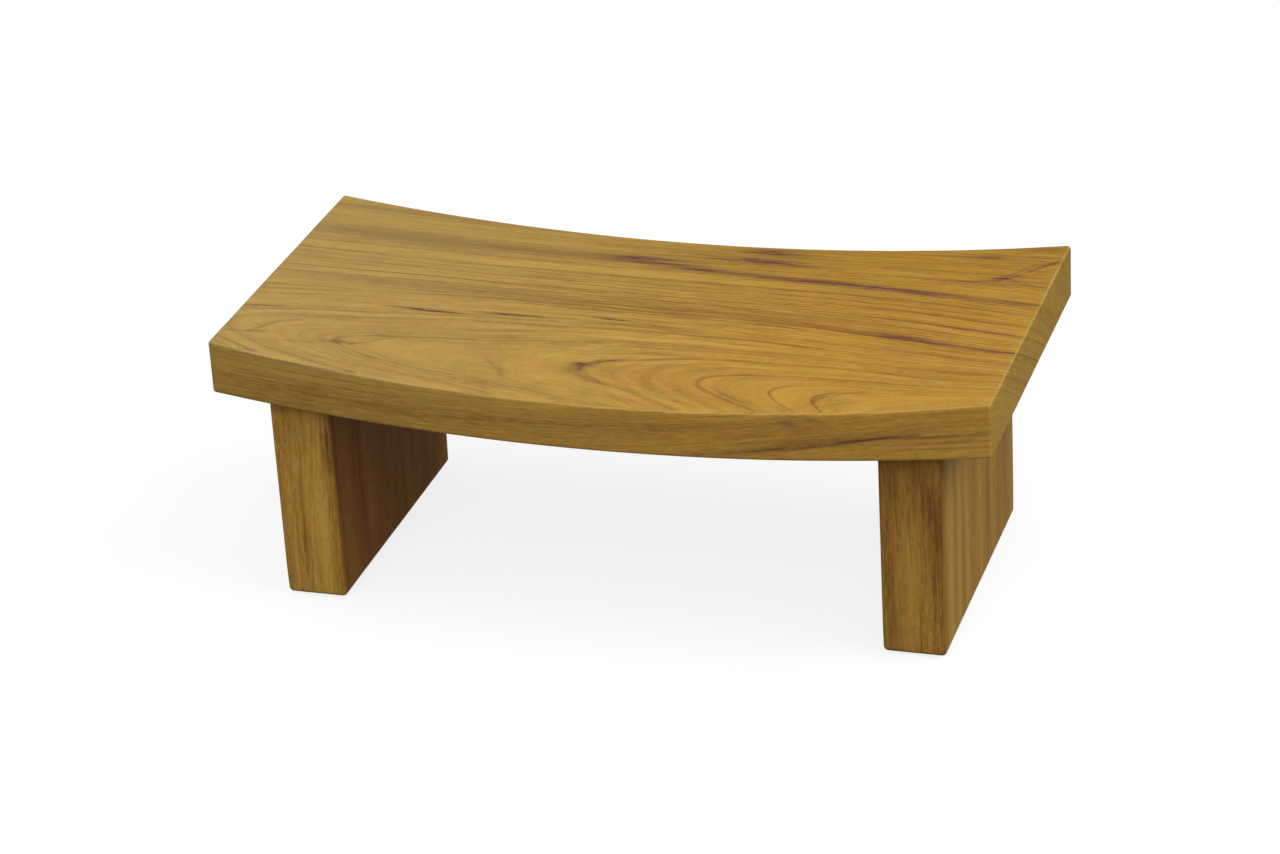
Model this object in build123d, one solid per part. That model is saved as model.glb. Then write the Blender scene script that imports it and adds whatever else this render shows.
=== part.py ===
from build123d import *
import math
import os

# Bath step in solid hardwood: a dished top plank on two slab legs, with four rubber foot pads.
# X runs along the step, Y from the front edge to the back edge, Z up. The origin is on the floor,
# under the middle of the plank. Every size is in millimetres.

# Top plank
LENGTH = 500.0  # along X
END_DEPTH = 240.0  # front to back, at the two ends
EDGE_BOW = 6.0  # how far each long edge bows outwards at mid length
END_HEIGHT = 182.0  # floor to the top surface, at the two ends
END_THICKNESS = 36.0
SEAT_DIP = 20.0  # how much lower the top surface is at mid length than at the ends
UNDERSIDE_DIP = 15.0  # the same for the underside
PLANK_EDGE_ROUND = 2.0

# Legs
LEG_THICKNESS = 40.0  # along X
END_OVERHANG = 33.0  # plank end to the outer face of a leg
FRONT_SETBACK = 10.0  # front of the plank's ends to the front of a leg
BACK_SETBACK = 30.0  # back of the plank's ends to the back of a leg
LEG_EDGE_ROUND = 2.0  # the four upright edges
LEG_FOOT_ROUND = 3.0  # the edges around the foot
FOOT_GAP = 1.5  # floor to the wood of a leg, which stands on its pads

# Dowels that hold each leg to the plank
DOWELS_PER_LEG = 4
DOWEL_DIAMETER = 10.0
DOWEL_LENGTH = 50.0
DOWEL_CHAMFER = 1.0
DOWEL_EDGE_DISTANCE = 25.0  # front or back of a leg to the axis of the nearest dowel
WOOD_OVER_DOWEL = 13.0  # dowel hole to the top surface
DOWEL_CLEARANCE = 0.05  # glue line around a dowel
DOWEL_END_GAP = 1.0  # room for glue past each end of a dowel
FLUTES_PER_DOWEL = 10
FLUTE_RADIUS = 0.5

# Stainless screws that hold the foot pads
HEAD_DIAMETER = 7.0
HEAD_HEIGHT = 2.0
HEAD_CHAMFER = 0.4
HEAD_ABOVE_FLOOR = 0.6
SHANK_DIAMETER = 3.5
SHANK_LENGTH = 16.0  # under the head, with its point
POINT_LENGTH = 3.0
POINT_RADIUS = 0.3
SCREW_CLEARANCE = 0.05  # around the shank
PILOT_END_GAP = 1.0  # pilot hole past the point
DRIVE_LENGTH = 3.6  # each slot of the cross in the head
DRIVE_WIDTH = 0.9
DRIVE_DEPTH = 1.2

# Rubber foot pads, let into the end grain of the legs
RUBBER_UNDER_HEAD = 1.4  # what a screw head clamps to its leg
PAD_MARGIN = 8.0  # pad to the inner or outer face of its leg
PAD_EDGE_DISTANCE = 25.0  # front or back of a leg to the centre of the nearest pad
PAD_CHAMFER = 0.6
PAD_CLEARANCE = 0.2  # around a pad, in its leg
HEAD_CLEARANCE = 0.5  # around a screw head, in its pad

# Places and sizes that follow
HALF_LENGTH = LENGTH / 2
UNDERSIDE_END_HEIGHT = END_HEIGHT - END_THICKNESS
LEG_DEPTH = END_DEPTH - FRONT_SETBACK - BACK_SETBACK
LEG_X = HALF_LENGTH - END_OVERHANG - LEG_THICKNESS / 2
LEG_Y = (FRONT_SETBACK - BACK_SETBACK) / 2
HEAD_LEDGE = HEAD_ABOVE_FLOOR + HEAD_HEIGHT  # floor to the side of a head that clamps
PAD_THICKNESS = HEAD_LEDGE + RUBBER_UNDER_HEAD
PAD_RADIUS = LEG_THICKNESS / 2 - PAD_MARGIN
PAD_OFFSET = LEG_DEPTH / 2 - PAD_EDGE_DISTANCE  # middle of a leg to the centre of a pad
DOWEL_SPAN = LEG_DEPTH - 2 * DOWEL_EDGE_DISTANCE
DOWEL_PITCH = DOWEL_SPAN / (DOWELS_PER_LEG - 1)

SIDES = {"left": -1, "right": 1}
FRONT_AND_BACK = {"front": -1, "back": 1}


def dipped_arc(end_height, dip):
    """Side view of a surface of the plank: an arc that is lower by dip at mid length."""
    return ThreePointArc(
        (-HALF_LENGTH, end_height), (0, end_height - dip), (HALF_LENGTH, end_height)
    )


def arc_height(x, end_height, dip):
    """Height at x of the arc that dipped_arc draws."""
    radius = (HALF_LENGTH**2 + dip**2) / (2 * dip)
    return end_height - dip + radius - math.sqrt(radius**2 - x**2)


def side_slice(top, bottom):
    """A block, deeper than the step, between two lines of its side view with the same ends."""
    ends = [Line(top @ 0, bottom @ 0), Line(top @ 1, bottom @ 1)]
    face = Plane.XZ * make_face([top, bottom, *ends])
    return extrude(face, END_DEPTH, both=True)


def plan_outline():
    """The plank from above: straight ends, and long edges that bow outwards."""
    y = END_DEPTH / 2
    front = ThreePointArc((-HALF_LENGTH, -y), (0, -y - EDGE_BOW), (HALF_LENGTH, -y))
    back = ThreePointArc((-HALF_LENGTH, y), (0, y + EDGE_BOW), (HALF_LENGTH, y))
    ends = [Line(front @ 0, back @ 0), Line(front @ 1, back @ 1)]
    return make_face([front, back, *ends])


def rod(radius, low, high):
    """An upright cylinder on the Z axis, between two heights."""
    return Pos(0, 0, low) * Cylinder(
        radius, high - low, align=(Align.CENTER, Align.CENTER, Align.MIN)
    )


def dowel_places(side):
    """The axis of each dowel of a leg."""
    return [
        Pos(side * LEG_X, LEG_Y - DOWEL_SPAN / 2 + i * DOWEL_PITCH) for i in range(DOWELS_PER_LEG)
    ]


def dowel_ends():
    """Heights of the lower and the upper end of every dowel."""
    high = arc_height(LEG_X, END_HEIGHT, SEAT_DIP) - WOOD_OVER_DOWEL - DOWEL_END_GAP
    return high - DOWEL_LENGTH, high


def dowel():
    """One fluted dowel."""
    low, high = dowel_ends()
    body = rod(DOWEL_DIAMETER / 2, low, high)
    body = chamfer(body.edges().filter_by(GeomType.CIRCLE), DOWEL_CHAMFER)
    flutes = PolarLocations(DOWEL_DIAMETER / 2, FLUTES_PER_DOWEL) * rod(FLUTE_RADIUS, low, high)
    return body - flutes


def dowel_hole():
    """The room that one dowel takes, in the plank and in the leg."""
    low, high = dowel_ends()
    return rod(DOWEL_DIAMETER / 2 + DOWEL_CLEARANCE, low - DOWEL_END_GAP, high + DOWEL_END_GAP)


def top_plank():
    """The plank: its outline from above, cut to the two arcs of its side view, then eased."""
    seat = dipped_arc(END_HEIGHT, SEAT_DIP)
    underside = dipped_arc(UNDERSIDE_END_HEIGHT, UNDERSIDE_DIP)
    plank = extrude(plan_outline(), END_HEIGHT) & side_slice(seat, underside)
    plank = fillet(plank.edges(), PLANK_EDGE_ROUND)
    for side in SIDES.values():
        for place in dowel_places(side):
            plank -= place * dowel_hole()
    return plank


def leg(side):
    """A slab leg, its top cut to the curve of the plank's underside."""
    blank = Pos(side * LEG_X, LEG_Y, FOOT_GAP) * Box(
        LEG_THICKNESS, LEG_DEPTH, END_HEIGHT, align=(Align.CENTER, Align.CENTER, Align.MIN)
    )
    blank = fillet(blank.edges().filter_by(Axis.Z), LEG_EDGE_ROUND)
    blank = fillet(blank.faces().sort_by(Axis.Z)[0].edges(), LEG_FOOT_ROUND)
    underside = dipped_arc(UNDERSIDE_END_HEIGHT, UNDERSIDE_DIP)
    floor = Line((-HALF_LENGTH, 0), (HALF_LENGTH, 0))
    body = blank & side_slice(underside, floor)
    for place in dowel_places(side):
        body -= place * dowel_hole()
    for end in FRONT_AND_BACK.values():
        body -= pad_place(side, end) * pad_seat()
    return body


def pad_place(side, end):
    """The floor under the centre of a foot pad."""
    return Pos(side * LEG_X, LEG_Y + end * PAD_OFFSET)


def pad_seat():
    """The recess for a pad and the pilot hole for its screw, from the floor up."""
    recess = rod(PAD_RADIUS + PAD_CLEARANCE, 0, PAD_THICKNESS)
    return recess + rod(
        SHANK_DIAMETER / 2 + SCREW_CLEARANCE, 0, HEAD_LEDGE + SHANK_LENGTH + PILOT_END_GAP
    )


def foot_pad():
    """One pad on the floor, with a counterbore for the head of its screw."""
    disc = rod(PAD_RADIUS, 0, PAD_THICKNESS)
    disc = chamfer(disc.edges().filter_by(GeomType.CIRCLE), PAD_CHAMFER)
    head_room = rod(HEAD_DIAMETER / 2 + HEAD_CLEARANCE, 0, HEAD_LEDGE)
    shank_room = rod(SHANK_DIAMETER / 2 + SCREW_CLEARANCE, 0, PAD_THICKNESS)
    return disc - head_room - shank_room


def pad_screw():
    """One screw, head down, at its height over the floor."""
    head = rod(HEAD_DIAMETER / 2, HEAD_ABOVE_FLOOR, HEAD_LEDGE)
    head = chamfer(head.faces().sort_by(Axis.Z)[0].edges(), HEAD_CHAMFER)
    point_start = HEAD_LEDGE + SHANK_LENGTH - POINT_LENGTH
    shank = rod(SHANK_DIAMETER / 2, HEAD_LEDGE, point_start)
    point = Pos(0, 0, point_start) * Cone(
        SHANK_DIAMETER / 2,
        POINT_RADIUS,
        POINT_LENGTH,
        align=(Align.CENTER, Align.CENTER, Align.MIN),
    )
    slot = Pos(0, 0, HEAD_ABOVE_FLOOR) * Box(
        DRIVE_LENGTH, DRIVE_WIDTH, DRIVE_DEPTH, align=(Align.CENTER, Align.CENTER, Align.MIN)
    )
    return head + shank + point - slot - Rot(0, 0, 90) * slot


def build_nodes():
    """Every named piece, or group of identical pieces, of the step."""
    nodes = {"top_plank": top_plank()}
    screws = []
    for side_name, side in SIDES.items():
        nodes[f"{side_name}_leg"] = leg(side)
        nodes[f"{side_name}_leg_dowels"] = Compound(
            [place * dowel() for place in dowel_places(side)]
        )
        for end_name, end in FRONT_AND_BACK.items():
            place = pad_place(side, end)
            nodes[f"{end_name}_{side_name}_foot_pad"] = place * foot_pad()
            screws.append(place * pad_screw())
    nodes["foot_pad_screws"] = Compound(screws)
    return nodes


os.makedirs("parts", exist_ok=True)
for name, shape in build_nodes().items():
    export_step(shape, f"parts/{name}.step")
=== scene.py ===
import math
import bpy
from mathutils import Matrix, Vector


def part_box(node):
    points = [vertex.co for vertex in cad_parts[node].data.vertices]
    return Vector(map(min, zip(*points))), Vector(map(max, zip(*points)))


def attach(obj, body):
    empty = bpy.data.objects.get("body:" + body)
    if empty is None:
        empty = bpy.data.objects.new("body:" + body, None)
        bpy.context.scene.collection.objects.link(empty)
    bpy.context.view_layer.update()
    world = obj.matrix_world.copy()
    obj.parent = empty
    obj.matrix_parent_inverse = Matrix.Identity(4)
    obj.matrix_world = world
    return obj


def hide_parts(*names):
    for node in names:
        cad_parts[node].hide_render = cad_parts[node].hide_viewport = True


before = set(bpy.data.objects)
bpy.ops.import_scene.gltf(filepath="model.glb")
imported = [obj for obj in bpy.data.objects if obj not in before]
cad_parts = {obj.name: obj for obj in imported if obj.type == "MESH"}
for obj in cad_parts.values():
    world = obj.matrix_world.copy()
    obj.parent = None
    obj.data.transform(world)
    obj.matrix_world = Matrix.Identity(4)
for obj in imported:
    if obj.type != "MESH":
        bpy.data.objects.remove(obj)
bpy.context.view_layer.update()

from types import SimpleNamespace

import bmesh
import bpy
from mathutils import Matrix, Vector, noise

# Bath step in solid teak: a dished top plank on two slab legs with rubber foot pads. X runs along the
# step, Y from the front edge to the back edge, Z up, and the origin is on the floor under the middle.
# Lengths are written in millimetres and scaled to metres where a mesh is made.
MM = 0.001

# Top plank
LENGTH = 500.0
END_DEPTH = 240.0
EDGE_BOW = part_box("top_plank")[1].y / MM - END_DEPTH / 2  # how far each long edge bows outwards
END_HEIGHT = 182.0
END_THICKNESS = 36.0
SEAT_DIP = 20.0
UNDERSIDE_DIP = 15.0
EDGE_ROUND = 2.0
EDGE_ROUND_DRIFT = 0.3  # the hand-sanded edges are a little softer in places

# Legs
LEG_THICKNESS = 40.0
LEG_DEPTH = 200.0
LEG_X = 197.0
LEG_Y = -10.0
FOOT_ROUND = 3.0
FOOT_ROUND_REACH = 15.0  # height over which the round of the foot runs out into the upright edges
FOOT_GAP = 1.5  # from the ground to the wood, which stands on its pads

# Holes that the dowels, pads and screws stand in
DOWEL_SPAN = 150.0
DOWELS_PER_LEG = 4
DOWEL_HOLE_RADIUS = 5.05
DOWEL_HOLE_LOW = 109.4
DOWEL_HOLE_HIGH = 161.4
BELOW_FOOT = -1.0  # where the holes for the pads and screws start, clear of the wood
PAD_OFFSET = 75.0
PAD_SEAT_RADIUS = 12.2
PAD_SEAT_HEIGHT = 4.0
PILOT_RADIUS = 1.8
PILOT_HEIGHT = 19.6

# How finely the meshes are divided
ROUND_STEPS = 4
PLANK_STEPS = (96, 40, 6)
LEG_STEPS = (8, 30, 26)
HOLE_SIDES = 32
MERGE_DISTANCE = 0.001
SHARP_ANGLE = math.radians(35)
ARRIS_TURN = 0.25  # one less the cosine of the turn at which a point counts fully as on an edge

# Camera, at the photograph's viewing angle
CAMERA_PLACE = (0.7102, -2.1603, 1.1929)
CAMERA_TURN = math.radians(18.40)
CAMERA_DOWN = math.radians(25.93)
CAMERA_ROLL = math.radians(-3.40)
CAMERA_LENS = 110.46
CAMERA_SENSOR = 36.0

# Light
SKY_LOW = 0.12  # strength of the surround at the horizon
SKY_OVERHEAD = 0.72
LAMP_SOFTNESS = math.radians(40)
LAMPS = {  # strength, and the direction from the step towards the light
    "right_lamp": (1.24, (0.72, 0.02, 0.70)),
    "front_lamp": (1.06, (0.04, -0.80, 0.60)),
}

# Floor
FLOOR_REACH = 6.0
FLOOR_BOUNCE = 0.12  # how pale the floor is for the light that it sends back to the step
FLOOR_SHADED = 0.22  # how pale it is for the camera, which shows the shadow on it
FLOOR_GLOW = 0.815  # what is added to that, so that the camera sees it as white


def arc_height(x, end_height, dip):
    """Height at x of an arc that is lower by dip at mid length than at the plank's ends."""
    radius = ((LENGTH / 2) ** 2 + dip**2) / (2 * dip)
    return end_height - dip + radius - math.sqrt(radius**2 - x**2)


def arc_slope(x, dip):
    """How steeply that arc climbs at x."""
    radius = ((LENGTH / 2) ** 2 + dip**2) / (2 * dip)
    return x / math.sqrt(radius**2 - x**2)


def underside_height(x):
    return arc_height(x, END_HEIGHT - END_THICKNESS, UNDERSIDE_DIP)


def half_depth(x):
    """Half the plank's depth at x: its long edges are arcs that bow outwards."""
    return END_DEPTH / 2 + EDGE_BOW - arc_height(x, EDGE_BOW, EDGE_BOW)


def steps_along(half, count):
    """Places from -half to half: close together within the two edge rounds, even between them."""
    core = half - EDGE_ROUND
    rim = [core + EDGE_ROUND * i / ROUND_STEPS for i in range(1, ROUND_STEPS + 1)]
    middle = [core * (2 * i / count - 1) for i in range(count + 1)]
    return [-p for p in reversed(rim)] + middle + rim


def new_object(name, mesh_data):
    piece = bpy.data.objects.new(name, mesh_data)
    bpy.context.scene.collection.objects.link(piece)
    return piece


def rounded_block(name, halves, radius_at, counts, shape):
    """A block with rounded edges, whose points lie where shape(share, normal, radius) puts them.

    share is the middle of the round that a point is on, from -1 to 1 across the block's core, normal
    is the direction from there to the point, and radius is the size of the round.
    """
    mesh = bmesh.new()
    arris = mesh.verts.layers.float.new("arris")
    lines = [steps_along(h, n) for h, n in zip(halves, counts)]
    cores = [h - EDGE_ROUND for h in halves]
    found = {}

    def vertex(index):
        if index not in found:
            place = [lines[a][index[a]] for a in range(3)]
            middle = [max(-c, min(c, p)) for c, p in zip(cores, place)]
            normal = Vector(p - m for p, m in zip(place, middle)).normalized()
            share = [m / c for m, c in zip(middle, cores)]
            corner = mesh.verts.new(shape(share, normal, radius_at(middle)))
            corner[arris] = min(1.0, (1 - max(abs(n) for n in normal)) / ARRIS_TURN)
            found[index] = corner
        return found[index]

    for axis in range(3):
        u, v = (axis + 1) % 3, (axis + 2) % 3
        for end in (0, len(lines[axis]) - 1):
            for i in range(len(lines[u]) - 1):
                for j in range(len(lines[v]) - 1):
                    corners = []
                    for di, dj in ((0, 0), (1, 0), (1, 1), (0, 1)):
                        index = [0, 0, 0]
                        index[axis], index[u], index[v] = end, i + di, j + dj
                        corners.append(vertex(tuple(index)))
                    mesh.faces.new(corners if end else corners[::-1])
    bmesh.ops.remove_doubles(mesh, verts=mesh.verts[:], dist=MERGE_DISTANCE * MM)
    data = bpy.data.meshes.new(name)
    mesh.to_mesh(data)
    mesh.free()
    return new_object(name, data)


def edge_radius(place):
    """The edge round at a place on a piece, in millimetres."""
    return EDGE_ROUND + EDGE_ROUND_DRIFT * (1 + noise.noise(Vector(place) / 35))


def plank_point(share, normal, radius):
    """Where a point of the plank lies: on a round about the core, with the core bent to the arcs."""
    x = share[0] * (LENGTH / 2 - radius)
    slopes = [arc_slope(x, SEAT_DIP), arc_slope(x, UNDERSIDE_DIP)]
    high = arc_height(x, END_HEIGHT, SEAT_DIP) - radius * math.hypot(1, slopes[0])
    low = underside_height(x) + radius * math.hypot(1, slopes[1])
    z = low + (high - low) * (share[2] + 1) / 2
    upright = Vector((-slopes[0 if normal.z > 0 else 1], 0, 1)).normalized()
    out = (Vector((normal.x, normal.y, 0)) + normal.z * upright).normalized() * radius
    y = share[1] * (half_depth(x) - radius)
    return (Vector((x, y, z)) + out) * MM


def make_plank():
    halves = (LENGTH / 2, END_DEPTH / 2, END_THICKNESS / 2)
    plank = rounded_block("teak_top_plank", halves, edge_radius, PLANK_STEPS, plank_point)
    cut(plank, [dowel_hole(side, i) for side in (-1, 1) for i in range(DOWELS_PER_LEG)])
    return plank


def make_leg(name, side):
    """A slab leg: rounded upright edges and foot, and a top that follows the plank's underside."""
    height = underside_height(LEG_X) - FOOT_GAP

    def leg_radius(place):
        above = min(1.0, (place[2] + height / 2 - EDGE_ROUND) / FOOT_ROUND_REACH)
        return FOOT_ROUND + (EDGE_ROUND - FOOT_ROUND) * above + edge_radius(place) - EDGE_ROUND

    def leg_point(share, normal, radius):
        out = normal if share[2] < 1 else flat(normal)
        x = side * LEG_X + share[0] * (LEG_THICKNESS / 2 - radius) + radius * out.x
        y = LEG_Y + share[1] * (LEG_DEPTH / 2 - radius) + radius * out.y
        foot = FOOT_GAP + radius
        z = foot + (underside_height(x) - foot) * (share[2] + 1) / 2 + radius * min(0, normal.z)
        return Vector((x, y, z)) * MM

    halves = (LEG_THICKNESS / 2, LEG_DEPTH / 2, height / 2)
    leg = rounded_block(name, halves, leg_radius, LEG_STEPS, leg_point)
    holes = [dowel_hole(side, i) for i in range(DOWELS_PER_LEG)]
    for end in (-1, 1):
        place = (side * LEG_X, LEG_Y + end * PAD_OFFSET)
        holes.append((place, PAD_SEAT_RADIUS, BELOW_FOOT, PAD_SEAT_HEIGHT))
        holes.append((place, PILOT_RADIUS, BELOW_FOOT, PILOT_HEIGHT))
    cut(leg, holes)
    return leg


def flat(normal):
    """A direction pressed level: 1 long on the sides, and shorter towards the middle of the top."""
    level = Vector((normal.x, normal.y, 0))
    reach = max(abs(normal.x), abs(normal.y)) / max(abs(n) for n in normal)
    return level.normalized() * reach


def dowel_hole(side, index):
    """One upright dowel hole, counted from the front, as cut() takes it."""
    pitch = DOWEL_SPAN / (DOWELS_PER_LEG - 1)
    place = (side * LEG_X, LEG_Y - DOWEL_SPAN / 2 + index * pitch)
    return place, DOWEL_HOLE_RADIUS, DOWEL_HOLE_LOW, DOWEL_HOLE_HIGH


def cut(piece, holes):
    """Takes upright round holes, each ((x, y), radius, low, high), out of a piece."""
    for place, radius, low, high in holes:
        mesh = bmesh.new()
        bmesh.ops.create_cone(
            mesh,
            cap_ends=True,
            segments=HOLE_SIDES,
            radius1=radius * MM,
            radius2=radius * MM,
            depth=(high - low) * MM,
            matrix=Matrix.Translation(Vector((*place, (low + high) / 2)) * MM),
        )
        data = bpy.data.meshes.new("hole")
        mesh.to_mesh(data)
        mesh.free()
        drill = new_object("hole", data)
        modifier = piece.modifiers.new("hole", "BOOLEAN")
        modifier.operation = "DIFFERENCE"
        modifier.solver = "EXACT"
        modifier.object = drill
        bpy.context.view_layer.update()
        depsgraph = bpy.context.evaluated_depsgraph_get()
        solid = bpy.data.meshes.new_from_object(piece.evaluated_get(depsgraph))
        piece.modifiers.clear()
        old = piece.data
        piece.data = solid
        bpy.data.meshes.remove(old)
        bpy.data.objects.remove(drill)
    piece.data.name = piece.name


def smooth(piece):
    """Shades a piece smoothly, apart from its sharp edges."""
    piece.data.polygons.foreach_set("use_smooth", [True] * len(piece.data.polygons))
    piece.data.set_sharp_from_angle(angle=SHARP_ANGLE)


NOISE_GAIN = 3.6  # brings the noise texture to about -1 to 1


class Field:
    """A number that varies over a surface: a shader socket that takes arithmetic."""

    def __init__(self, tree, socket):
        self.tree = tree
        self.socket = socket

    def math(self, operation, *values):
        node = self.tree.nodes.new("ShaderNodeMath")
        node.operation = operation
        for slot, value in zip(node.inputs, values):
            plug(self.tree, slot, value)
        return Field(self.tree, node.outputs[0])

    def __add__(self, other):
        return self.math("ADD", self, other)

    __radd__ = __add__

    def __sub__(self, other):
        return self.math("SUBTRACT", self, other)

    def __rsub__(self, other):
        return self.math("SUBTRACT", other, self)

    def __mul__(self, other):
        return self.math("MULTIPLY", self, other)

    __rmul__ = __mul__

    def __truediv__(self, other):
        return self.math("DIVIDE", self, other)

    def __rtruediv__(self, other):
        return self.math("DIVIDE", other, self)

    def __pow__(self, power):
        if power == 2:
            return self.math("MULTIPLY", self, self)
        return self.math("POWER", self, power)

    def times_plus(self, factor, term):
        """This field times a factor plus a term, in one node."""
        return self.math("MULTIPLY_ADD", self, factor, term)

    def clamp(self, low, high):
        """0 at low, 1 at high, and smooth between."""
        node = self.tree.nodes.new("ShaderNodeMapRange")
        node.interpolation_type = "SMOOTHSTEP"
        plug(self.tree, node.inputs["Value"], self)
        node.inputs["From Min"].default_value = low
        node.inputs["From Max"].default_value = high
        return Field(self.tree, node.outputs[0])


def plug(tree, slot, value):
    """Sets a node's input to a number, or links a field to it."""
    if isinstance(value, Field):
        tree.links.new(value.socket, slot)
    else:
        slot.default_value = value


def vector(tree, x, y, z):
    node = tree.nodes.new("ShaderNodeCombineXYZ")
    for slot, value in zip(node.inputs, (x, y, z)):
        plug(tree, slot, value)
    return Field(tree, node.outputs[0])


def cloud(tree, place, detail, roughness=0.5, scale=1.0):
    """Smooth noise of about -1 to 1 at a place."""
    node = tree.nodes.new("ShaderNodeTexNoise")
    plug(tree, node.inputs["Vector"], place)
    node.inputs["Scale"].default_value = scale
    node.inputs["Detail"].default_value = detail
    node.inputs["Roughness"].default_value = roughness
    return (Field(tree, node.outputs[0]) - 0.5) * NOISE_GAIN


def blend(tree, share, first, second, kind="MIX"):
    """The colour first, with second mixed in by share."""
    node = tree.nodes.new("ShaderNodeMix")
    node.data_type = "RGBA"
    node.blend_type = kind
    node.clamp_factor = True
    plug(tree, node.inputs[0], share)
    for slot, value in ((node.inputs[6], first), (node.inputs[7], second)):
        plug(tree, slot, value if isinstance(value, Field) else (*value, 1.0))
    return Field(tree, node.outputs[2])


def new_material(name):
    """A material with its node tree, its shader and its object coordinates in millimetres."""
    material = bpy.data.materials.new(name)
    material.use_nodes = True
    tree = material.node_tree
    shader = tree.nodes["Principled BSDF"]
    place = tree.nodes.new("ShaderNodeTexCoord")
    split = tree.nodes.new("ShaderNodeSeparateXYZ")
    tree.links.new(place.outputs["Object"], split.inputs[0])
    x, y, z = (Field(tree, socket) / MM for socket in split.outputs)
    return material, tree, shader, x, y, z


def bell(t):
    """1 at zero, and fading to nothing on both sides."""
    return 1 / (1 + t * t) ** 2


def add_line(total, strength, t):
    """A total, with a line added to it that is strongest where t is zero."""
    return (t.times_plus(t, 1.0) ** -2.0).times_plus(strength, total)


def rise(t):
    """From 0 far below zero to 1 far above it."""
    return 0.5 + 0.5 * t / (1 + t * t) ** 0.5


def plank_rings(x, y):
    """The growth rings that the top face cuts, counted outwards from the front of the plank.

    They sweep round a hollow at the front right and close in an eye at the front left.
    """
    u = x / (LENGTH / 2)
    v = (y + 90) / 100
    rings = (17.5 - 9.5 * u - 4 * u * u) * v * v + 4.5 * v * v * v
    rings = rings + (19 * v - 3) * u + (22 * v + 11.5) * u * u + 3.5 * u * u * u
    hollow = 25 * rise((x - 55) / 140) * bell((y + 60 * u + 56) / 90)
    eye = 8 * bell((x + 160) / 165) * bell((y + 84) / 43)
    return rings - hollow - eye


RINGS_PER_DEPTH = -1.2  # how the rings change from the top face down
SPOT_REACH = 3.2  # how far the fade of a mark reaches, over its half length or width
STREAK_DEPTH = 9.0  # how far a streak or fleck of the top face goes down into the wood
FRONT_MARK_DEPTH = 8.0  # how far a mark of the plank's front face goes into it
LEG_MARK_DEPTH = 9.0
END_SKIN = 1.5  # how deep the tone of the end grain goes

# Dark streaks of the top face, which follow the rings: x and y of the middle, half length along the
# step, how many rings wide, and how dark
STREAKS = (
    (-36, 93, 11, 2.2, 1.1),
    (-32, 96.5, 9, 1.2, 0.8),
    (-44, 90.5, 8, 1.0, 0.6),
    (-14, 88, 20, 1.6, 1.4),
    (16, 83, 22, 1.6, 1.4),
    (-8, 94, 18, 1.3, 1.0),
    (56, 77.5, 26, 1.7, 0.85),
    (98, 71, 26, 1.9, 0.8),
    (136, 61.5, 28, 2.4, 0.95),
    (172, 51, 20, 1.7, 0.75),
    (205, 38, 22, 1.1, 0.6),
    (240, 27, 20, 1.4, 0.65),
    (52, 118.5, 10, 1.6, 0.9),
    (44, 115.5, 18, 1.4, 1.1),
    (58, 113, 12, 1.4, 1.0),
    (38, 110.5, 16, 1.1, 0.7),
    (72, 109, 12, 1.0, 0.6),
    (46, 106, 12, 1.0, 0.6),
    (50, 103, 20, 1.6, 1.2),
    (42, 100.5, 16, 1.2, 1.0),
    (62, 98.5, 16, 1.2, 0.9),
    (74, 95.5, 14, 0.9, 0.5),
    (4, 102, 24, 1.1, 0.5),
    (12, 107.5, 26, 1.2, 0.6),
    (-8, 111, 14, 1.0, 0.35),
    (64, 95, 30, 1.2, 0.35),
    (90, 118, 40, 1.6, 0.4),
    (150, 116, 40, 1.2, 0.35),
    (198, 107, 12, 2.6, 0.9),
    (230, 102, 22, 1.4, 0.5),
    (150, 92, 40, 1.0, 0.3),
    (158, 77, 26, 1.0, 0.45),
    (196, 67, 20, 1.1, 0.45),
    (236, 55, 22, 1.2, 0.55),
    (240, 110, 20, 4.0, 0.35),
    (152, -8, 14, 1.2, 0.5),
    (170, -15, 15, 1.5, 0.75),
    (192, -24, 17, 1.4, 0.65),
    (222, -38, 20, 0.9, 0.55),
    (244, -47, 14, 1.0, 0.5),
    (190, -41, 24, 0.7, 0.45),
    (236, -58, 18, 0.7, 0.5),
    (150, 9, 26, 0.8, 0.3),
    (195, 0, 24, 0.8, 0.4),
    (234, -18, 20, 0.9, 0.45),
    (180, -70, 40, 0.5, 0.3),
)

# Broad brown bands of the top face, which follow the rings, written as its streaks are
BANDS = (
    (-215, 71, 50, 7.0, 0.95),
    (-130, 84, 50, 6.0, 0.8),
    (-60, 92, 40, 5.0, 0.6),
    (-225, 108, 40, 4.0, 0.6),
    (-150, 118, 50, 4.0, 0.4),
    (-170, 8, 80, 2.6, 0.55),
    (-30, 20, 90, 3.6, 0.55),
    (90, 8, 70, 3.0, 0.4),
    (-90, -46, 60, 1.4, 0.35),
    (-120, 64, 90, 2.5, -0.5),
    # a pale streak across the middle of the top: a painted golden glint of the wood's chatoyance
    (0, -28, 70, 1.6, -0.5),
    (10, 70, 60, 3.0, -0.4),
)

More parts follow.
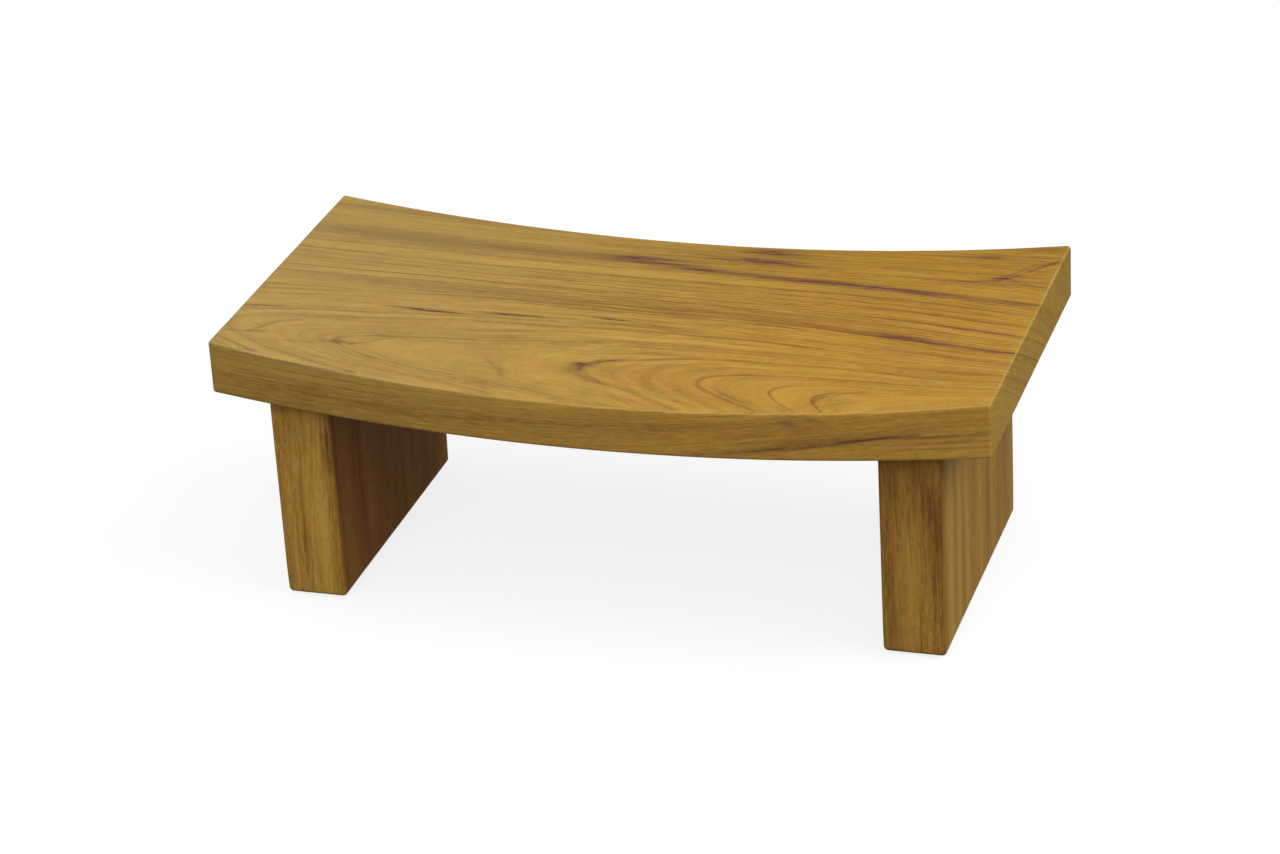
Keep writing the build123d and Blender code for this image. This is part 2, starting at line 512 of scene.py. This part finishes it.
# Short dark flecks of the top face: x and y of the middle, half length, half width, degrees that it is
# turned from the step's length, and how dark
FLECKS = (
    (-140, -22.5, 15, 1.0, 7, 1.6),
    (-85, -11.5, 15, 1.0, 6, 1.5),
    (-20, -2.5, 10, 0.9, -4, 1.3),
    (6, -6, 14, 0.7, -8, 0.4),
    (-241, -60, 11, 1.1, 22, 0.65),
    (-173, -85, 9, 1.3, 12, 0.7),
    (-157, -77, 11, 0.8, 40, 0.45),
    (-126, -60, 20, 0.8, 16, 0.3),
    (-150, -92, 14, 0.8, -17, 0.35),
    (-235, -96.5, 10, 1.0, 22, 0.6),
    (-226, -84, 10, 0.8, 60, 0.4),
    (-211, -68, 11, 0.8, 38, 0.35),
    (-176, -54, 22, 0.8, 14, 0.3),
    (-198, -95, 18, 0.8, 18, 0.35),
    (-200, -107, 24, 0.8, -8, 0.35),
    (-118, -113, 42, 0.8, -2, 0.3),
    (-66, -95, 7, 2.0, -70, 0.4),
    (-75, -83, 7, 1.6, -48, 0.3),
    (-70, -114, 8, 4.5, 90, 0.22),
    (-10, -113, 8, 4.0, 90, 0.16),
    (-25, -37, 7, 3.0, 20, 0.25),
    (-19, -70, 7, 1.4, -5, 0.7),
    (-20, -75, 3.5, 2.0, -70, 0.7),
    (-10, -86, 8, 0.8, -42, 0.4),
    (17, -98, 18, 0.7, -21, 0.4),
    (50, -111, 18, 0.7, -24, 0.3),
    (-4, -61, 13, 0.8, 24, 0.5),
    (82, -101, 14, 0.8, -38, 0.4),
    (140, -105, 7, 1.4, 60, 0.5),
    (150, -99, 10, 0.8, 20, 0.5),
    (158, -110, 9, 1.0, 15, 0.4),
    (214, 71, 6, 2.0, 5, 0.9),
    (203, 68, 10, 0.9, -8, 0.5),
    (223, 79, 10, 1.0, 50, 0.7),
    (230, 78, 12, 0.9, 38, 0.6),
    (236, 75, 12, 0.8, 18, 0.5),
    (238, 86, 9, 1.5, 35, 0.6),
    (246, 90, 8, 1.8, 8, 0.6),
    (227, 63, 11, 1.0, -38, 0.7),
    (238, 61, 12, 0.8, -20, 0.5),
)

# Bands and lines of the front face: x and depth below the top face of the middle, half length, half
# width, degrees turned, and how dark
FRONT_BANDS = (
    (-205, 25, 45, 5.0, -5, 0.2),
    (-135, 20, 60, 4.5, -2.5, 0.35),
    (-50, 16, 60, 4.5, -1.5, 0.4),
    (60, 15, 70, 5.0, 0, 0.25),
    (160, 10, 60, 6.0, 0, 0.25),
    # The next two rows pale the top strip of the front face: a painted highlight of its rounded top
    # edge
    (-160, 7, 80, 3.0, -2, -0.3),
    (70, 4, 110, 2.2, 0, -0.45),
    (60, 27, 60, 3.0, -3, -0.2),
    (225, 28, 30, 5.0, 0, -0.35),
)
FRONT_LINES = (
    (70, 29, 30, 1.2, -6, 0.6),
    (112, 25, 30, 1.4, -6, 0.95),
    (160, 20, 30, 1.3, -5, 0.95),
    (212, 18.5, 34, 0.8, 1, 0.75),
    (225, 23, 26, 0.7, 1, 0.55),
    (222, 27, 26, 0.7, 2, 0.5),
    (127, 7, 6, 2.4, 25, 0.9),
    (139, 4.5, 7, 1.2, 15, 0.7),
    (-120, 21, 50, 0.9, -3, 0.3),
)

# Rings that show as a thin brown line over most of the plank: x and y of a point on each, its width in
# rings, and how dark it is
DARK_RINGS = (
    (-17, 63.5, 1.0, 0.8),
    (-17, 50.5, 0.8, 0.7),
    (-17, 38.7, 0.8, 0.6),
    (-17, 57, 0.5, 0.4),
    (-17, 31, 0.5, 0.4),
    (-100, 25, 0.6, 0.4),
    (-175, -5, 0.7, 0.55),
    (-200, -44, 0.4, 0.5),
    (-17, -10.5, 0.4, 0.45),
    (-17, -16, 0.5, 0.55),
    (-17, -26, 0.35, 0.4),
    (-17, -34, 0.35, 0.4),
    (50, -35, 0.35, 0.45),
    (75, -51, 0.35, 0.5),
    (60, -84, 0.2, 0.65),
    (104, -96, 0.12, 0.55),
    (138, -107, 0.11, 0.6),
    (-25, 77, 1.2, 0.3),
)


# Sizes of the wood's grain: along the wood in millimetres, across it in millimetres or in rings, and
# into it in millimetres
WANDER_SIZE = (75, 13, 60)  # the slow wandering of the rings
BAND_SIZE = (150, 2, 90)  # broad pale and brown bands
SILK_SIZE = (32, 0.5, 9)  # fine lines within a ring
FIBRE_SIZE = (9, 1.3, 1.3)  # single fibres
PORE_SIZE = (5, 0.42, 0.42)  # short open pores
JITTER_SIZE = (300, 2.2, 1)  # uneven spacing of the rings
STRENGTH_SIZE = (90, 1.1, 1)  # how strong the rings' edges show
FEATHER_SIZE = (22, 2.2, 5)  # the breaks in the dark streaks
SPECKLE_SIZE = (20, 0.8, 9)  # golden and reddish specks
WEAR_SIZE = (30, 30, 30)  # how unevenly the rounded edges take their tint
RING_FADE_SIZE = (110, 5, 1)  # where the dark rings show
LOOSE_FLECK_SIZE = (30, 2.2, 40)  # the small flecks all round the legs

WANDER = 0.7  # how far the rings wander, in rings
JITTER = 0.22  # how far a ring's edge is from its even place, in ring widths
SILK_JITTER = 0.03
RING_SNAP = 20.0  # how abruptly the line at a ring's edge begins
STRENGTH_LAYER = 4.0  # which slice of the noise gives the strength of the rings' edges
FADE_LAYER = 3.0  # and which gives the places where the dark rings show
FRAY = (0.6, 0.8)  # how far the fibres and the silk fray a mark, in millimetres
GOLDEN = (0.94, 1.05, 1.0)  # tints of the specks
REDDISH = (1.06, 0.955, 0.92)
SHADE_RANGE = (-1.0, 1.15)  # from the palest to the brownest wood
SHADE_SHIFT = -0.12
TOP_SKIN = 5  # how deep the painted sheen of the top face goes
PORE_SHARE = 0.5  # how strongly the pores darken the wood
WOOD_ROUGHNESS = 0.58
WOOD_GLOSS = 0.03
WOOD_RELIEF = 0.1  # depth of the open grain, in millimetres


def grain(tree, size, along, across, inward, detail, roughness=0.5):
    """Noise that is as long, wide and deep as size says."""
    stretched = [value / step for value, step in zip((along, across, inward), size)]
    return cloud(tree, vector(tree, *stretched), detail, roughness)


def figure(tree, board, mix):
    """The fields that the wood's colour and relief are mixed from."""
    along, across, depth, rings, lively, side = board
    rings = grain(tree, WANDER_SIZE, along, rings, depth, 3.0).times_plus(WANDER, rings)
    count = rings / mix["ring_size"]
    patch_length, patch_width = mix["patch_size"]
    patch_size = (patch_length, patch_width, patch_width)
    wood = SimpleNamespace(
        along=along,
        across=across,
        depth=depth,
        rings=rings,
        count=count,
        lively=lively,
        side=side,
        calm=side.times_plus(-mix["side_calm"], 1.0),
        band=grain(tree, BAND_SIZE, along, count, depth, 5.0, 0.75),
        silk=grain(tree, SILK_SIZE, along, count, depth, 4.0, 0.75),
        fibre=grain(tree, FIBRE_SIZE, along, across, depth, 4.0, 0.7),
        patch=grain(tree, patch_size, along, across, depth, 3.0),
        pore=grain(tree, PORE_SIZE, along, across, depth, 1.0).clamp(0.35, 1.0),
        feather=grain(tree, FEATHER_SIZE, along, rings, depth, 5.0, 0.8).clamp(-0.6, 0.6),
    )
    wood.lines = ring_edges(tree, wood, mix)
    return wood


def ring_edges(tree, wood, mix):
    """The thin brown line at the edge of each growth ring, stronger in some places than others."""
    jitter = grain(tree, JITTER_SIZE, wood.along, wood.count, 0.0, 1.0)
    place = jitter.times_plus(JITTER, wood.silk.times_plus(SILK_JITTER, wood.count))
    phase = place.math("FRACT", place)
    fine, wide = mix["line_width"]
    fade = phase / wood.across.clamp(-60, 80).times_plus(wide - fine, fine)
    edge = add_line(add_line(0.0, 1.0, fade), 1.0, phase.times_plus(RING_SNAP, -RING_SNAP))
    strength = grain(tree, STRENGTH_SIZE, wood.along, wood.count, STRENGTH_LAYER, 2.0)
    return edge * strength.clamp(-0.5, 0.9) * wood.lively


def wood_colour(tree, wood, x, brown, tints, mix):
    """The colour of the wood without its pores, streaks and worn edges."""
    shade = wood.band * mix["band"] + wood.silk * (mix["silk"] * (0.5 + 0.5 * wood.lively))
    shade = shade + wood.fibre * mix["fibre"] + wood.patch * mix["patch"]
    shade = (wood.lines.times_plus(mix["lines"], shade) + brown) * wood.calm + SHADE_SHIFT
    base = blend(tree, shade.clamp(*SHADE_RANGE), tints["pale"], tints["brown"])
    # On the plank this left-to-right drift is partly a painted fall-off of the light across the top
    # and partly the wood's tone; on the legs it is their own tone
    tone_and_painted_light_drift = (x / (LENGTH / 2) + 0.35 * wood.patch).clamp(-1.1, 0.9)
    base = blend(tree, 1.0, base, blend(tree, tone_and_painted_light_drift, tints["left"], tints["right"]), "MULTIPLY")
    back = (wood.across / (END_DEPTH / 2) + 0.2 * wood.band).clamp(-0.6, 1.2)
    base = blend(tree, back, base, tints["back"], "MULTIPLY")
    base = blend(tree, wood.side, base, tints["side"], "MULTIPLY")
    speckle = grain(tree, SPECKLE_SIZE, wood.along, wood.count, wood.depth, 4.0, 0.7)
    speckle = blend(tree, speckle.clamp(-0.9, 0.9), GOLDEN, REDDISH)
    base = blend(tree, 1.0, base, speckle, "MULTIPLY")
    base = blend(tree, wood.depth.clamp(0, TOP_SKIN), base, tints["below"], "MULTIPLY")
    # Painted sheen: the top skin pales towards its left end, a painted highlight of the light on the
    # top face
    painted_sheen_mask = wood.depth.clamp(TOP_SKIN, 0) * x.clamp(150, -LENGTH / 2)
    return blend(tree, painted_sheen_mask * tints["painted_sheen_share"], base, tints["painted_sheen"])


def edge_wear_and_highlight(tree, x, y, z):
    """How strongly the rounded edges take their tint, and unevenly: on the plank partly wear and
    partly a painted highlight.
    """
    arris = tree.nodes.new("ShaderNodeAttribute")
    arris.attribute_name = "arris"
    rounded = Field(tree, arris.outputs["Fac"]).clamp(0.5, 1.0)
    patchy = grain(tree, WEAR_SIZE, x, y, z, 3.0).clamp(-0.8, 0.9)
    return rounded * patchy.times_plus(0.4, 0.2)


def add_relief(tree, shader, height, depth, strength):
    """Fine relief of the surface, depth millimetres deep, from a height field."""
    bump = tree.nodes.new("ShaderNodeBump")
    bump.inputs["Strength"].default_value = strength
    bump.inputs["Distance"].default_value = depth * MM
    plug(tree, bump.inputs["Height"], height)
    tree.links.new(bump.outputs["Normal"], shader.inputs["Normal"])


def teak(name, board, marks, tints, mix):
    """Oiled teak, darkened at its marks.

    board(x, y, z) gives the way along and across the grain, the depth, the growth rings, how strongly
    their edges show, and the share of the tone that one face has for itself.
    """
    material, tree, shader, x, y, z = new_material(name)
    wood = figure(tree, board(x, y, z), mix)
    fray = wood.fibre.times_plus(FRAY[0], wood.silk * FRAY[1])
    dark, brown = marks(tree, wood.rings, fray + x, fray + y, z, wood.depth)
    dark = dark * wood.feather.times_plus(1.0, 0.35) * wood.calm

    base = wood_colour(tree, wood, x, brown, tints, mix)
    base = blend(tree, wood.pore * PORE_SHARE, base, tints["pore"])
    base = blend(tree, dark, base, tints["streak"])
    # Rounded edges: on the plank a pale tint, partly wear and partly a painted highlight; on the legs
    # a darker tint
    base = blend(tree, edge_wear_and_highlight(tree, x, y, z), base, tints["arris"])
    plug(tree, shader.inputs["Base Color"], base)

    roughness = wood.pore.times_plus(0.1, WOOD_ROUGHNESS) + 0.04 * wood.band
    plug(tree, shader.inputs["Roughness"], roughness)
    shader.inputs["Specular IOR Level"].default_value = WOOD_GLOSS
    height = wood.silk * 0.2 + wood.fibre * 0.2 - wood.lines * 0.3 - wood.pore * 0.9 - dark * 0.2
    add_relief(tree, shader, height, WOOD_RELIEF, 0.5)
    return material


def plank_board(x, y, z):
    """How the plank's figure lies: the rings of the top face carry on down into the wood.

    The ends have a tone of their own, the right one more than the left.
    """
    depth = END_HEIGHT - SEAT_DIP + SEAT_DIP * (x / (LENGTH / 2)) ** 2 - z
    rings = depth.times_plus(RINGS_PER_DEPTH, plank_rings(x, y))
    off_middle = x.math("ABSOLUTE", x)
    end_grain = off_middle.clamp(LENGTH / 2 - END_SKIN, LENGTH / 2) * x.clamp(-LENGTH, LENGTH / 2)
    lively = y.clamp(-100, -20).times_plus(0.8, 0.2) * end_grain.times_plus(-0.5, 1.0)
    return x, y, depth, rings, lively, end_grain


def ovals(tree, rows, u, v):
    """Oval marks over the coordinates u and v, each fading outwards from its middle, added up."""
    place = vector(tree, u, v, 0.0)
    total = 0.0
    for middle_u, middle_v, half_length, half_width, turn, strength in rows:
        mark = tree.nodes.new("ShaderNodeMapping")
        mark.vector_type = "TEXTURE"
        mark.inputs["Location"].default_value = (middle_u, middle_v, 0.0)
        mark.inputs["Rotation"].default_value = (0.0, 0.0, math.radians(turn))
        mark.inputs["Scale"].default_value = (SPOT_REACH * half_length, SPOT_REACH * half_width, 1.0)
        plug(tree, mark.inputs["Vector"], place)
        fade = tree.nodes.new("ShaderNodeTexGradient")
        fade.gradient_type = "QUADRATIC_SPHERE"
        plug(tree, fade.inputs["Vector"], Field(tree, mark.outputs[0]))
        total = Field(tree, fade.outputs["Fac"]).times_plus(strength, total)
    return total


def along_rings(rows):
    """Rows of marks that follow the rings: each place across the plank becomes its ring."""
    return [(x, plank_rings(x, y), length, width, 0, dark) for x, y, length, width, dark in rows]


def plank_marks(tree, rings, x, y, z, depth):
    """How dark the marks of the plank are, and how brown its broad bands."""
    top = plank_rings(x, y)
    front = bell((y + END_DEPTH / 2) / FRONT_MARK_DEPTH)
    inward = bell(depth / STREAK_DEPTH)
    dark = ovals(tree, FLECKS, x, y) + ovals(tree, along_rings(STREAKS), x, top)
    dark = dark * inward + ovals(tree, FRONT_LINES, x, depth) * front
    brown = ovals(tree, along_rings(BANDS), x, top) * inward
    brown = ovals(tree, FRONT_BANDS, x, depth) * front + brown
    fade = grain(tree, RING_FADE_SIZE, x, rings, FADE_LAYER, 3.0).clamp(-1.1, 0.7)
    lines = 0.0
    for middle, place, width, strength in DARK_RINGS:
        ring = plank_rings(middle, place)
        lines = add_line(lines, strength, rings.times_plus(1 / width, -ring / width))
    return lines * fade * 0.6 + dark, lines * fade * 0.8 + brown


def leg_board(heart_x, heart_y, lean, toned_from, toned_to):
    """A board sawn along the trunk, whose heart runs upright beside the leg.

    The face towards toned_to, in x, has a tone of its own, which on the left leg's inner face is
    partly a painted shade.
    """

    def board(x, y, z):
        reach = (x - heart_x - lean * z) ** 2 + (y - heart_y) ** 2
        side = (x - toned_from) / (toned_to - toned_from)
        return z, y, x, reach**0.5, 1.0, side.clamp(0.0, 1.0)

    return board


def leg_marks(front_flecks, front_bands, toned_x, side_bands):
    """The dark flecks and brown bands of a leg's front and of the side at toned_x.

    A few loose flecks lie all round it.
    """

    def marks(tree, rings, x, y, z, depth):
        front = bell((y + LEG_DEPTH / 2 - LEG_Y) / LEG_MARK_DEPTH)
        toned_side = bell((x - toned_x) / LEG_MARK_DEPTH)
        loose = grain(tree, LOOSE_FLECK_SIZE, z, rings, y, 3.0).clamp(0.35, 1.3)
        dark = loose.times_plus(0.2, ovals(tree, front_flecks, x, z) * front)
        brown = ovals(tree, front_bands, x, z) * front
        return dark, ovals(tree, side_bands, y, z) * toned_side + brown

    return marks


# Tints of the wood: its palest and brownest colour, and then what they are multiplied by towards the
# left, the right, the back, on the end grain or the toned side, and below the top skin. On the plank
# the left and right tints are partly a painted fall-off of the light, and on the left leg the toned
# side is partly a painted shade. The painted sheen colour is a painted highlight that pales the top
# skin towards its left end, and the last three are those of pores, streaks and rounded edges, which
# on the plank are partly worn and partly a painted highlight
PLANK_TINTS = {
    "pale": (0.585, 0.36, 0.057),
    "brown": (0.245, 0.11, 0.017),
    "left": (0.86, 0.87, 1.04),
    "right": (1.03, 0.95, 1.0),
    "back": (0.87, 0.88, 0.72),
    "side": (0.89, 0.98, 0.73),
    "below": (1.04, 1.03, 1.22),
    "painted_sheen": (0.56, 0.42, 0.19),
    "painted_sheen_share": 0.26,
    "pore": (0.18, 0.09, 0.018),
    "streak": (0.13, 0.05, 0.036),
    "arris": (0.56, 0.44, 0.19),
}
# How much each part of the figure shows, and the width of a growth ring
PLANK_MIX = {
    "ring_size": 2.6,
    "band": 0.5,
    "silk": 0.6,
    "fibre": 0.42,
    "patch": 0.12,
    "patch_size": (60, 22),
    "lines": 1.15,
    "side_calm": 0.2,
    "line_width": (0.12, 0.3),
}
LEG_TINTS = {
    "pale": (0.60, 0.365, 0.062),
    "brown": (0.24, 0.105, 0.018),
    "left": (1.02, 0.98, 1.15),
    "right": (0.86, 0.80, 0.85),
    "back": (0.9, 0.86, 0.9),
    "below": (1.0, 1.0, 1.12),
    "painted_sheen": (0.6, 0.45, 0.2),
    "painted_sheen_share": 0.0,
    "pore": (0.14, 0.065, 0.018),
    "streak": (0.10, 0.042, 0.024),
    "arris": (0.20, 0.095, 0.03),
}
# The left leg's inner face, under the plank, is darker and redder: partly its own tone, partly a
# painted shade
LEFT_LEG_TINTS = LEG_TINTS | {"side": (0.88, 0.69, 0.7)}
RIGHT_LEG_TINTS = LEG_TINTS | {"side": (0.97, 1.0, 0.76)}
LEG_MIX = {
    "ring_size": 3.0,
    "band": 0.3,
    "silk": 0.36,
    "fibre": 0.48,
    "patch": 0.3,
    "patch_size": (150, 12),
    "lines": 0.55,
    "side_calm": 0.0,
    "line_width": (0.2, 0.2),
}

# The boards that the legs are sawn from: x and y of the trunk's heart, how it leans with height, and
# the places in x where the tone of the toned side begins and is full
LEFT_LEG_BOARD = (-420, -250, 0.04, -178.5, -177.0)
RIGHT_LEG_BOARD = (20, -280, -0.02, 215.5, 217.0)

# Dark flecks and then brown bands on the front faces of the legs: x and z of the middle, half length,
# half width, degrees turned, and how dark. The bands of the toned sides have y and z instead
LEFT_LEG_FLECKS = (
    (-180, 112, 9, 0.8, 88, 1.2),
    (-179, 98, 6, 0.7, 86, 1.1),
    (-184, 120, 8, 0.6, 92, 0.6),
    (-183, 104, 8, 0.6, 82, 0.5),
    (-206, 70, 22, 0.8, 90, 0.3),
    (-196, 116, 10, 0.7, 91, 0.4),
    (-190, 122, 8, 0.6, 91, 0.4),
    (-202, 118, 10, 0.5, 89, 0.3),
)
LEFT_LEG_BANDS = (
    (-188, 45, 40, 2.4, 90, -0.6),
    (-197, 60, 50, 1.6, 91, -0.35),
    (-214, 70, 60, 2.2, 90, 0.3),
    (-181, 108, 26, 3.0, 88, 0.6),
    (-205, 118, 16, 7.0, 90, 0.3),
    (-201, 45, 40, 1.4, 90, 0.4),
    (-180, 40, 40, 1.6, 90, 0.4),
)
LEFT_LEG_SIDE_BANDS = (
    (-104, 60, 70, 3.0, 90, 0.3),
    (-88, 60, 70, 4.0, 90, -0.35),
    (-70, 60, 70, 4.0, 90, 0.25),
    (-55, 60, 70, 5.0, 90, -0.25),
    (-30, 60, 70, 8.0, 90, 0.3),
    (0, 60, 70, 10.0, 90, 0.25),
    (45, 60, 70, 14.0, 90, 0.4),
)
RIGHT_LEG_FLECKS = (
    (205, 112, 12, 0.8, 88, 0.75),
    (209, 100, 11, 0.8, 87, 0.75),
    (213, 90, 13, 0.7, 89, 0.65),
    (200, 118, 9, 0.7, 90, 0.6),
    (196, 96, 16, 0.5, 91, 0.4),
    (188, 108, 18, 0.6, 90, 0.4),
    (211, 55, 24, 0.6, 90, 0.5),
    (215.5, 70, 70, 0.5, 90, 0.7),
    (184, 118, 10, 0.6, 90, 0.4),
)
RIGHT_LEG_BANDS_AND_TOP_SHADE = (
    # The first three rows darken the top of the front face under the plank: partly the wood's tone,
    # partly a painted shade of the plank
    (209, 112, 26, 6.0, 90, 0.4),
    (186, 124, 18, 6.0, 90, 0.45),
    (197, 128, 14, 6.0, 90, 0.4),
    (197, 30, 40, 3.0, 90, -0.45),
    (212, 40, 50, 3.0, 90, 0.2),
    (182, 50, 50, 2.0, 90, 0.35),
)
RIGHT_LEG_SIDE_BANDS = (
    (-106, 60, 70, 2.0, 90, 0.4),
    (-92, 50, 60, 5.0, 90, -0.7),
    (-78, 50, 60, 3.0, 90, 0.45),
    (-69, 50, 60, 3.0, 90, -0.5),
    (-58, 50, 60, 4.0, 90, 0.5),
    (-45, 50, 60, 4.0, 90, -0.5),
    (-30, 50, 60, 5.0, 90, 0.5),
    (-10, 50, 60, 5.0, 90, -0.35),
    (12, 50, 60, 6.0, 90, 0.45),
    (32, 50, 60, 5.0, 90, -0.2),
    (55, 50, 60, 10.0, 90, 0.45),
)


def seen_by_camera(tree):
    """1 for what the camera sees, straight or in a reflection, and 0 for other light."""
    path = tree.nodes.new("ShaderNodeLightPath")
    seen = Field(tree, path.outputs["Is Camera Ray"]) + Field(tree, path.outputs["Is Glossy Ray"])
    return seen + Field(tree, path.outputs["Is Transmission Ray"])


def grey_surface(tree, value):
    """A matt surface of one grey."""
    surface = tree.nodes.new("ShaderNodeBsdfDiffuse")
    surface.inputs["Color"].default_value = (value, value, value, 1.0)
    return surface


def make_floor():
    """A plain white floor that keeps the step's soft shadow."""
    mesh = bmesh.new()
    bmesh.ops.create_grid(mesh, x_segments=1, y_segments=1, size=FLOOR_REACH)
    data = bpy.data.meshes.new("floor")
    mesh.to_mesh(data)
    mesh.free()
    floor = new_object("floor", data)
    material = bpy.data.materials.new("white_floor")
    material.use_nodes = True
    tree = material.node_tree
    tree.nodes.clear()
    bounced = grey_surface(tree, FLOOR_BOUNCE)
    shaded = grey_surface(tree, FLOOR_SHADED)
    glow = tree.nodes.new("ShaderNodeEmission")
    glow.inputs["Strength"].default_value = FLOOR_GLOW
    shown = tree.nodes.new("ShaderNodeAddShader")
    tree.links.new(shaded.outputs[0], shown.inputs[0])
    tree.links.new(glow.outputs[0], shown.inputs[1])
    pick = tree.nodes.new("ShaderNodeMixShader")
    plug(tree, pick.inputs[0], seen_by_camera(tree))
    tree.links.new(bounced.outputs[0], pick.inputs[1])
    tree.links.new(shown.outputs[0], pick.inputs[2])
    output = tree.nodes.new("ShaderNodeOutputMaterial")
    tree.links.new(pick.outputs[0], output.inputs[0])
    floor.data.materials.append(material)


def make_world():
    """A pale surround, brighter overhead, which the camera sees as white."""
    world = bpy.data.worlds.new("studio")
    bpy.context.scene.world = world
    world.use_nodes = True
    tree = world.node_tree
    background = tree.nodes["Background"]
    place = tree.nodes.new("ShaderNodeTexCoord")
    split = tree.nodes.new("ShaderNodeSeparateXYZ")
    tree.links.new(place.outputs["Generated"], split.inputs[0])
    height = Field(tree, split.outputs["Z"]).clamp(-0.1, 1.0)
    sky = height.times_plus(SKY_OVERHEAD - SKY_LOW, SKY_LOW)
    plug(tree, background.inputs["Strength"], sky + (1 - sky) * seen_by_camera(tree))
    background.inputs["Color"].default_value = (1.0, 1.0, 1.0, 1.0)


def make_lamps():
    """Two broad soft lights from above: one to the right of the step, one in front of it."""
    for name, (strength, direction) in LAMPS.items():
        lamp = bpy.data.lights.new(name, "SUN")
        lamp.energy = strength
        lamp.angle = LAMP_SOFTNESS
        light = new_object(name, lamp)
        light.rotation_euler = Vector(direction).to_track_quat("Z", "Y").to_euler()


def make_camera():
    """The camera of the photograph."""
    lens = bpy.data.cameras.new("camera")
    lens.lens = CAMERA_LENS
    lens.sensor_width = CAMERA_SENSOR
    camera = new_object("camera", lens)
    turn = Matrix.Rotation(CAMERA_TURN, 4, "Z")
    tilt = Matrix.Rotation(math.pi / 2 - CAMERA_DOWN, 4, "X")
    roll = Matrix.Rotation(CAMERA_ROLL, 4, "Z")
    camera.matrix_world = Matrix.Translation(CAMERA_PLACE) @ turn @ tilt @ roll
    bpy.context.scene.camera = camera


RUBBER_BLACK = (0.022, 0.022, 0.022)
RUBBER_DUSTY = (0.055, 0.05, 0.045)
STEEL_BRIGHT = (0.62, 0.61, 0.59)
STEEL_SMUDGED = (0.48, 0.47, 0.45)
BEECH_PALE = (0.66, 0.48, 0.30)
BEECH_BROWN = (0.52, 0.35, 0.20)
BEECH_RAY = (0.33, 0.19, 0.10)


def rubber():
    """Matt black rubber with a fine moulded texture and a little dust in it."""
    material, tree, shader, x, y, z = new_material("foot_rubber")
    place = vector(tree, x, y, z)
    grit = cloud(tree, place, 3.0, scale=2.2)
    dust = cloud(tree, place, 3.0, scale=0.12).clamp(-0.3, 0.9)
    base = blend(tree, dust, RUBBER_BLACK, RUBBER_DUSTY)
    plug(tree, shader.inputs["Base Color"], base)
    plug(tree, shader.inputs["Roughness"], 0.72 + 0.12 * grit)
    add_relief(tree, shader, grit, 0.08, 0.4)
    return material


def steel():
    """Stainless steel, turned, with fine rings around each screw and light smudges."""
    material, tree, shader, x, y, z = new_material("screw_steel")
    shader.inputs["Metallic"].default_value = 1.0
    turned = cloud(tree, vector(tree, x * 0.2, y * 0.2, z * 9.0), 2.0)
    smudge = cloud(tree, vector(tree, x, y, z), 3.0, scale=0.5).clamp(-0.5, 0.8)
    base = blend(tree, smudge, STEEL_BRIGHT, STEEL_SMUDGED)
    plug(tree, shader.inputs["Base Color"], base)
    plug(tree, shader.inputs["Roughness"], 0.3 + 0.06 * turned + 0.1 * smudge)
    add_relief(tree, shader, turned, 0.03, 0.3)
    return material


def pale_wood():
    """Bare beech of the dowels, with fine upright grain and short dark rays."""
    material, tree, shader, x, y, z = new_material("dowel_beech")
    fibres = cloud(tree, vector(tree, x / 0.7, y / 0.7, z / 18), 3.0)
    rays = cloud(tree, vector(tree, x / 0.25, y / 0.6, z / 2.2), 1.0).clamp(0.3, 0.7)
    base = blend(tree, fibres.clamp(-0.7, 0.7), BEECH_PALE, BEECH_BROWN)
    base = blend(tree, rays * 0.5, base, BEECH_RAY)
    plug(tree, shader.inputs["Base Color"], base)
    plug(tree, shader.inputs["Roughness"], 0.65 + 0.08 * fibres)
    add_relief(tree, shader, fibres, 0.05, 0.4)
    return material


def dress(node, material):
    """Gives a CAD node its finished material."""
    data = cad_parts[node].data
    data.materials.clear()
    data.materials.append(material)
    data.polygons.foreach_set("material_index", [0] * len(data.polygons))


def stand_in(piece, node, material):
    """Lets a finished wooden piece stand for its CAD node."""
    smooth(piece)
    piece.data.materials.clear()
    piece.data.materials.append(material)
    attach(piece, "root")
    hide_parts(node)


make_camera()
make_world()
make_lamps()
make_floor()

plank_wood = teak("teak_plank", plank_board, plank_marks, PLANK_TINTS, PLANK_MIX)
stand_in(make_plank(), "top_plank", plank_wood)
left_board = leg_board(*LEFT_LEG_BOARD)
left_marks = leg_marks(LEFT_LEG_FLECKS, LEFT_LEG_BANDS, LEFT_LEG_BOARD[-1], LEFT_LEG_SIDE_BANDS)
left_wood = teak("teak_left", left_board, left_marks, LEFT_LEG_TINTS, LEG_MIX)
stand_in(make_leg("teak_left_leg", -1), "left_leg", left_wood)
right_board = leg_board(*RIGHT_LEG_BOARD)
right_marks = leg_marks(RIGHT_LEG_FLECKS, RIGHT_LEG_BANDS_AND_TOP_SHADE, RIGHT_LEG_BOARD[-1], RIGHT_LEG_SIDE_BANDS)
right_wood = teak("teak_right", right_board, right_marks, RIGHT_LEG_TINTS, LEG_MIX)
stand_in(make_leg("teak_right_leg", 1), "right_leg", right_wood)
beech = pale_wood()
black = rubber()
for side in ("left", "right"):
    dress(f"{side}_leg_dowels", beech)
    for end in ("front", "back"):
        dress(f"{end}_{side}_foot_pad", black)
dress("foot_pad_screws", steel())

bpy.context.scene.view_settings.view_transform = "Standard"
